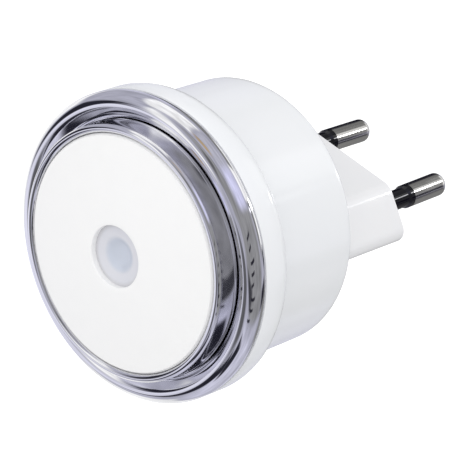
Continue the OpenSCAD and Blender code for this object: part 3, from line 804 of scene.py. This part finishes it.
# %% The finishes inside
INSIDE = (
    ("stamped_brass", 1.0, (0.75, 0.56, 0.22), (0.68, 0.5, 0.2), (0.2, 0.35),
     ("pin_tag_left", "pin_tag_right")),
    ("bright_zinc", 1.0, (0.68, 0.69, 0.7), (0.6, 0.61, 0.63), (0.2, 0.35),
     ("plug_screws", "board_screws")),
    ("bright_solder", 1.0, (0.7, 0.71, 0.72), (0.6, 0.6, 0.62), (0.15, 0.4), ("solder_joints",)),
    ("brown_insulation", 0.0, (0.16, 0.06, 0.03), (0.2, 0.08, 0.04), (0.35, 0.5), ("live_lead",)),
    ("blue_insulation", 0.0, (0.02, 0.1, 0.45), (0.03, 0.13, 0.5), (0.35, 0.5),
     ("neutral_lead",)),
    ("green_board", 0.0, (0.01, 0.14, 0.05), (0.02, 0.2, 0.08), (0.25, 0.4), ("circuit_board",)),
    ("cast_ochre", 0.0, (0.6, 0.36, 0.05), (0.66, 0.42, 0.08), (0.25, 0.4), ("film_capacitor",)),
    ("navy_film", 0.0, (0.01, 0.02, 0.08), (0.02, 0.03, 0.1), (0.2, 0.3),
     ("smoothing_capacitor",)),
    ("moulded_epoxy", 0.0, (0.015, 0.015, 0.015), (0.025, 0.025, 0.025), (0.4, 0.6),
     ("bridge_rectifier", "switching_transistor", "chip_resistors")),
    ("blue_lacquer", 0.0, (0.1, 0.28, 0.42), (0.14, 0.34, 0.5), (0.3, 0.45),
     ("fusible_resistor",)),
    ("tan_lacquer", 0.0, (0.5, 0.34, 0.18), (0.58, 0.4, 0.22), (0.3, 0.45), ("bleed_resistor",)),
    ("orange_glass", 0.0, (0.6, 0.14, 0.02), (0.7, 0.2, 0.04), (0.05, 0.12), ("zener_diode",)),
    ("led_resin", 0.0, (0.9, 0.72, 0.2), (0.92, 0.8, 0.35), (0.2, 0.35), ("leds",)),
    ("clear_resin", 0.0, (0.5, 0.6, 0.7), (0.6, 0.7, 0.8), (0.05, 0.1), ("light_sensor",)),
    ("dark_moulding", 0.0, (0.02, 0.02, 0.022), (0.03, 0.03, 0.033), (0.4, 0.6),
     ("sensor_shroud",)),
    ("satin_white", 0.0, (0.88, 0.88, 0.87), (0.92, 0.92, 0.91), (0.35, 0.5), ("reflector",)),
)
for name, metallic, colour, second, rough, wearers in INSIDE:
    material = finish_of(name, colour, second, rough, Metallic=metallic)
    for node in wearers:
        dress(nodes[node], material)
print("dressed", sum(len(row[-1]) for row in INSIDE), "inner nodes")

# %% [markdown]
# ## Seen rays and lighting rays
#
# The picture's background is to be pure white, while the light on the object stays at a plain
# level. More light would bleach the object too. The Light Path node can tell the two apart: what
# the camera, a mirror or a glass sees gets one value, and the rays that only light get another.

# %% Telling seen rays from lighting rays


def seen_rays(tree):
    """A socket that is 1 for camera, mirror and glass rays, and 0 for the rays that only light."""
    path = tree.nodes.new("ShaderNodeLightPath")
    last = path.outputs["Is Camera Ray"]
    for ray in ("Is Glossy Ray", "Is Transmission Ray"):
        either = tree.nodes.new("ShaderNodeMath")
        either.operation = "MAXIMUM"
        tree.links.new(last, either.inputs[0])
        tree.links.new(path.outputs[ray], either.inputs[1])
        last = either.outputs["Value"]
    return last


def level_by_ray(tree, lighting, seen, socket):
    """Gives a strength socket one value for the rays that light and another for those that see."""
    level = tree.nodes.new("ShaderNodeMapRange")
    level.inputs["To Min"].default_value = lighting
    level.inputs["To Max"].default_value = seen
    tree.links.new(seen_rays(tree), level.inputs["Value"])
    tree.links.new(level.outputs["Result"], socket)


WORLD_LEVEL = 0.45
WHITE_LEVEL = 1.0
print("the world lights at", WORLD_LEVEL, "and is seen at", WHITE_LEVEL)

# %% [markdown]
# ## World and floor
#
# The light is shown in a bright white studio. A room of lamps could make it, but a plain white
# world does the same with less noise: it gives an even light from all sides. The floor is a wide
# pale sheet far below, so its shadow stays out of the close picture. It glows a little for the
# rays that see it, and it stays a real sheet that takes shadows.

# %% The world and the floor
FLOOR_Z = -0.4
FLOOR_SIZE = 8
FLOOR_GLOW = 0.5
world = bpy.data.worlds.new("white_studio")
bpy.context.scene.world = world
world.use_nodes = True
background = world.node_tree.nodes["Background"]
background.inputs["Color"].default_value = (1, 1, 1, 1)
level_by_ray(world.node_tree, WORLD_LEVEL, WHITE_LEVEL, background.inputs["Strength"])

bpy.ops.object.select_all(action="DESELECT")
bpy.ops.mesh.primitive_plane_add(size=FLOOR_SIZE, location=(0, 0, FLOOR_Z))
floor = bpy.context.active_object
floor.name = "studio_floor"
paper = bpy.data.materials.new("floor_paper")
paper.use_nodes = True
sheet = paper.node_tree.nodes["Principled BSDF"]
sheet.inputs["Base Color"].default_value = (0.65, 0.65, 0.65, 1)
sheet.inputs["Roughness"].default_value = 0.9
sheet.inputs["Emission Color"].default_value = (1, 1, 1, 1)
level_by_ray(paper.node_tree, 0.0, FLOOR_GLOW, sheet.inputs["Emission Strength"])
dress(floor, paper)
print("the floor lies", -FLOOR_Z, "m below the light's axis")

# %% [markdown]
# ## The soft sun
#
# Even light alone would leave the white shell flat. One very soft sun, almost as wide as half
# the sky, adds the slow fall from light to grey that makes it look round. Lamps and cards are
# easiest to place by how they lie round the light: an angle around its axis, from +X over +Z,
# and an angle away from where the disc faces. One function turns the two into a direction.

# %% The sun
SUN_WIDTH = 170        # degrees of the sky that it covers
SUN_ENERGY = 2.35


def towards(around, away):
    """A direction from the light, by its angles around the axis and away from the disc's own."""
    around, away = math.radians(around), math.radians(away)
    return Vector((math.sin(away) * math.cos(around), -math.cos(away),
                   math.sin(away) * math.sin(around)))


sun_data = bpy.data.lights.new("soft_sun", "SUN")
sun_data.angle = math.radians(SUN_WIDTH)
sun_data.energy = SUN_ENERGY
sun = bpy.data.objects.new("soft_sun", sun_data)
bpy.context.scene.collection.objects.link(sun)
sun_side = towards(72, 60)
sun.rotation_euler = sun_side.to_track_quat("Z", "Y").to_euler()
sun.visible_glossy = False
print("the sun comes from", [round(v, 2) for v in sun_side])

# %% [markdown]
# ## How a card glows
#
# Polished chrome has hardly any look of its own: it shows what stands round it. In an all white
# room a chrome ring turns white and vanishes, so photographers hang grey and black cards round
# it. The cards here glow at the plain level of their paper. Soft borders matter: a mirror shows a
# hard border as a line that looks like a fault in the metal. So a card fades out towards its
# borders, along both directions of its UV map, and its glow wanders a little, as on real paper.

# %% A card's glow


def card_glow(name, colour, soft):
    """A card's material: an uneven glow that fades out over soft borders, if it has any."""
    material = bpy.data.materials.new(name)
    material.use_nodes = True
    tree, link = material.node_tree.nodes, material.node_tree.links.new
    tree.remove(tree["Principled BSDF"])
    surface = tree["Material Output"].inputs["Surface"]
    place = tree.new("ShaderNodeTexCoord")
    noise = tree.new("ShaderNodeTexNoise")
    noise.inputs["Scale"].default_value = 14.0
    link(place.outputs["Object"], noise.inputs["Vector"])
    wander = tree.new("ShaderNodeMapRange")
    for socket, value in (("From Min", NOISE_LOW), ("From Max", NOISE_HIGH),
                          ("To Min", 0.8), ("To Max", 1.15)):
        wander.inputs[socket].default_value = value
    link(noise.outputs["Fac"], wander.inputs["Value"])
    glow = tree.new("ShaderNodeEmission")
    glow.inputs["Color"].default_value = (*colour, 1)
    link(wander.outputs["Result"], glow.inputs["Strength"])
    if not soft:
        link(glow.outputs["Emission"], surface)
        return material
    axes = tree.new("ShaderNodeSeparateXYZ")
    link(place.outputs["UV"], axes.inputs["Vector"])
    both = tree.new("ShaderNodeMath")
    both.operation = "MULTIPLY"
    for i, axis in enumerate("XY"):
        inwards = tree.new("ShaderNodeMath")
        inwards.operation = "PINGPONG"
        inwards.inputs[1].default_value = 0.5
        link(axes.outputs[axis], inwards.inputs[0])
        fade = tree.new("ShaderNodeMapRange")
        fade.interpolation_type = "SMOOTHSTEP"
        fade.inputs["From Max"].default_value = soft
        link(inwards.outputs["Value"], fade.inputs["Value"])
        link(fade.outputs["Result"], both.inputs[i])
    clear = tree.new("ShaderNodeBsdfTransparent")
    mix = tree.new("ShaderNodeMixShader")
    link(both.outputs["Value"], mix.inputs["Fac"])
    link(clear.outputs["BSDF"], mix.inputs[1])
    link(glow.outputs["Emission"], mix.inputs[2])
    link(mix.outputs["Shader"], surface)
    return material


print("a card's glow wanders between 0.8 and 1.15 of its colour")

# %% [markdown]
# ## The grey dome
#
# Behind all cards stands a dome of one soft grey, so that the chrome never mirrors bare white
# between them. Dome and cards are switched off for all rays but mirror rays: they neither light
# the object nor cast a shadow, and the camera doesn't see them.

# %% Hang the dome
FOCUS = Vector((0, -0.045, 0))    # the middle of the dome, inside the chrome rings
DOME_DISTANCE = 0.37
DOME_COLOUR = (0.44, 0.44, 0.52)


def only_mirrors_see(card, material):
    """Dresses a card and hides it from all rays but mirror rays."""
    dress(card, material)
    card.visible_camera = card.visible_diffuse = card.visible_shadow = False
    card.visible_transmission = False


bpy.ops.object.select_all(action="DESELECT")
bpy.ops.mesh.primitive_uv_sphere_add(segments=64, ring_count=32, radius=DOME_DISTANCE,
                                     location=FOCUS)
shell = bpy.context.active_object
shell.name = "card_dome"
only_mirrors_see(shell, card_glow("card_dome", DOME_COLOUR, 0))
print("hung a dome", DOME_DISTANCE, "m away")

# %% [markdown]
# ## Shaping a card
#
# Each card is a grid whose points are set on a sphere round the light, between two angles around
# the axis and two angles away from the disc's facing direction. Flat cards would do for a flat
# mirror, but a ring mirrors the whole room, and a curved card keeps the same distance all over.

# %% A card from its place
CARD_GRID = 16         # squares along each side of a card


def hang_card(name, point, colour, soft):
    """A card that only mirrors see. point(u, w) gives its place for two numbers from 0 to 1."""
    bpy.ops.object.select_all(action="DESELECT")
    bpy.ops.mesh.primitive_grid_add(x_subdivisions=CARD_GRID, y_subdivisions=CARD_GRID, size=1)
    card = bpy.context.active_object
    card.name = card.data.name = name
    for v in card.data.vertices:
        v.co = point(v.co.x + 0.5, v.co.y + 0.5)
    only_mirrors_see(card, card_glow(name, colour, soft))


def patch(around, away, centre, distance):
    """The point function of a card between two angles around and two angles away."""
    return lambda u, w: centre + distance * towards(around[0] + (around[1] - around[0]) * u,
                                                    away[0] + (away[1] - away[0]) * w)


print("a card has", CARD_GRID ** 2, "squares")

# %% [markdown]
# ## Cards for the chrome
#
# What the rings mirror was judged from the photograph: light areas above, below and at the left,
# grey ones at the right, and dark lines between them. One big painted dome could carry all of it,
# but separate cards can be moved one at a time. Every card hangs a little nearer than the one
# before, so the later ones cover the earlier. The table gives each card's two spans in degrees,
# its colour and how wide its soft borders are.

# %% Hang the cards
CARD_STEP = 0.002      # metres by which each card hangs nearer
DARK, DUSK, SHADE = (0.02, 0.02, 0.03), (0.06, 0.06, 0.07), (0.12, 0.12, 0.13)
ASH, GREY, SILVER = (0.24, 0.24, 0.24), (0.29, 0.29, 0.3), (0.5, 0.5, 0.58)
PALE, BRIGHT, WHITE = (0.62, 0.62, 0.74), (0.8, 0.8, 0.92), (1, 1, 1)
LAVENDER, WARM = (0.74, 0.74, 0.98), (0.46, 0.33, 0.17)
CARDS = (
    ("card_back", (0, 360), (132, 154), ASH, 0.08),
    ("card_right", (-28, 54), (16, 132), GREY, 0.12),
    ("card_front", (28, 134), (6, 58), GREY, 0.2),
    ("card_silver", (70, 108), (58, 126), SILVER, 0.3),
    ("card_lavender", (44, 80), (58, 130), LAVENDER, 0.3),
    ("card_below", (262, 338), (34, 126), PALE, 0.25),
    ("card_opposite", (206, 244), (30, 130), BRIGHT, 0.2),
    ("softbox_above", (103, 145), (60, 124), WHITE, 0.15),
    ("softbox_left", (178, 221), (82, 128), WHITE, 0.15),
    ("softbox_low", (237, 270), (74, 128), WHITE, 0.15),
    ("card_behind", (128, 310), (127, 139), PALE, 0.1),
    ("card_back_top", (140, 236), (137, 156), DARK, 0.15),
    ("softbox_behind", (2, 124), (146, 174), WHITE, 0.1),
    ("softbox_side", (50, 82), (124, 148), WHITE, 0.15),
    ("card_line", (-26, -4), (122, 150), DARK, 0.3),
    ("flag_above", (82, 112), (18, 44), SHADE, 0.4),
    ("flag_left", (176, 212), (38, 80), DARK, 0.2),
    ("flag_low", (236, 300), (40, 60), DARK, 0.2),
    ("flag_low_right", (286, 322), (46, 74), DARK, 0.2),
    ("flag_front", (222, 316), (4, 44), SHADE, 0.25),
    ("flag_right", (334, 360), (22, 68), DUSK, 0.3),
    ("card_warm", (83, 107), (62, 82), WARM, 0.4),
)


nearer = 0
for name, around, away, colour, soft in CARDS:
    nearer += CARD_STEP
    hang_card(name, patch(around, away, FOCUS, DOME_DISTANCE - nearer), colour, soft)
print("hung", len(CARDS), "cards")

# %% [markdown]
# ## Glints and hooks
#
# A strip light bent into an arc over the disc gives the rings their white glints. A row of dark
# slanted bars at the right, like the ribs of a softbox, shows in the bead as a row of small
# hooks. Both could be painted into the chrome's material, but then they would stay in place when
# the camera moves, and a real mirror image slides.

# %% Hang the strip light and the bars
BARS = 8
nearer += CARD_STEP
strip_distance = DOME_DISTANCE - nearer


def strip(u, w):
    """The strip light's arc: 28 degrees wide, and nearest to the axis at 192 degrees."""
    around = 128 + 92 * u
    away = 26 + 30 * ((around - 192) / 60) ** 2 + 28 * (w - 0.5)
    return FOCUS + strip_distance * towards(around, away)


def rib(i):
    """The point function of one slanted bar. Three lengths take turns."""
    return lambda u, w: FOCUS + strip_distance * towards(-30 + 8 * i + 3 * u + 7 * w,
                                                         52 + (22 + 6 * (i % 3)) * w)


hang_card("strip_light", strip, WHITE, 0.25)
for i in range(BARS):
    hang_card("bar_%d" % i, rib(i), DARK, 0.2)
print("hung the strip light and", BARS, "bars")

# %% [markdown]
# ## Narrow lamps for the sharp lines
#
# Two narrow lamps draw sharp lines: one along the housing, and one, close behind the plug, along
# the pins and their black sleeves. A dark flag beside it gives the pins their darker side. As
# with the cards, a ray from a mirror is all that meets them, so they are far brighter than
# the cards: black plastic mirrors only a thirtieth of what it sees.

# %% Hang the narrow lamps
PIN_FOCUS = Vector((0, 0.012, 0))      # in the middle between the pins
PIN_LAMP_DISTANCE = 0.1
PIN_FLAG_DISTANCE = 0.11
hang_card("housing_lamp", patch((43, 49), (127, 139), FOCUS, strip_distance), (2, 2, 2.1), 0.45)
hang_card("pin_lamp", patch((44, 56), (121, 145), PIN_FOCUS, PIN_LAMP_DISTANCE),
          (12, 12, 12.4), 0.35)
hang_card("pin_flag", patch((354, 376), (124, 142), PIN_FOCUS, PIN_FLAG_DISTANCE), DARK, 0.2)
print("hung two narrow lamps and a flag")

# %% [markdown]
# ## The camera
#
# The camera stands to the right and above, and looks along a line worked out from the ring's
# ellipses and the pins' lines in the photograph. A camera can be aimed with a Track To
# constraint, but its own three directions, written down as a matrix, also fix its roll. A long
# lens far away keeps the perspective as flat as it is there.

# %% Place the camera
RIGHT = Vector((0.697424, 0.670028, 0.254289))
UP = Vector((-0.527632, 0.239941, 0.814882))
BACK = Vector((0.484979, -0.702489, 0.520869))     # from the light to the camera
CAMERA_PLACE = (0.25264, -0.38870, 0.26747)
LENS = 246.54
camera_data = bpy.data.cameras.new("camera")
camera = bpy.data.objects.new("camera", camera_data)
bpy.context.scene.collection.objects.link(camera)
turn = Matrix((RIGHT, UP, BACK)).transposed().to_4x4()
camera.matrix_world = Matrix.Translation(CAMERA_PLACE) @ turn
camera_data.sensor_width = 36
camera_data.lens = LENS
camera_data.clip_start = 0.01
bpy.context.scene.camera = camera
bpy.context.scene.view_settings.view_transform = "Standard"
print("the camera stands", round(Vector(CAMERA_PLACE).length, 3), "m from the plug's end face")

# %% [markdown]
# ## The end
#
# A dressed light that is larger than its frame would no longer fit where the frame does. The last
# call brings the scene up to date.

# %% The end
bpy.context.view_layer.update()
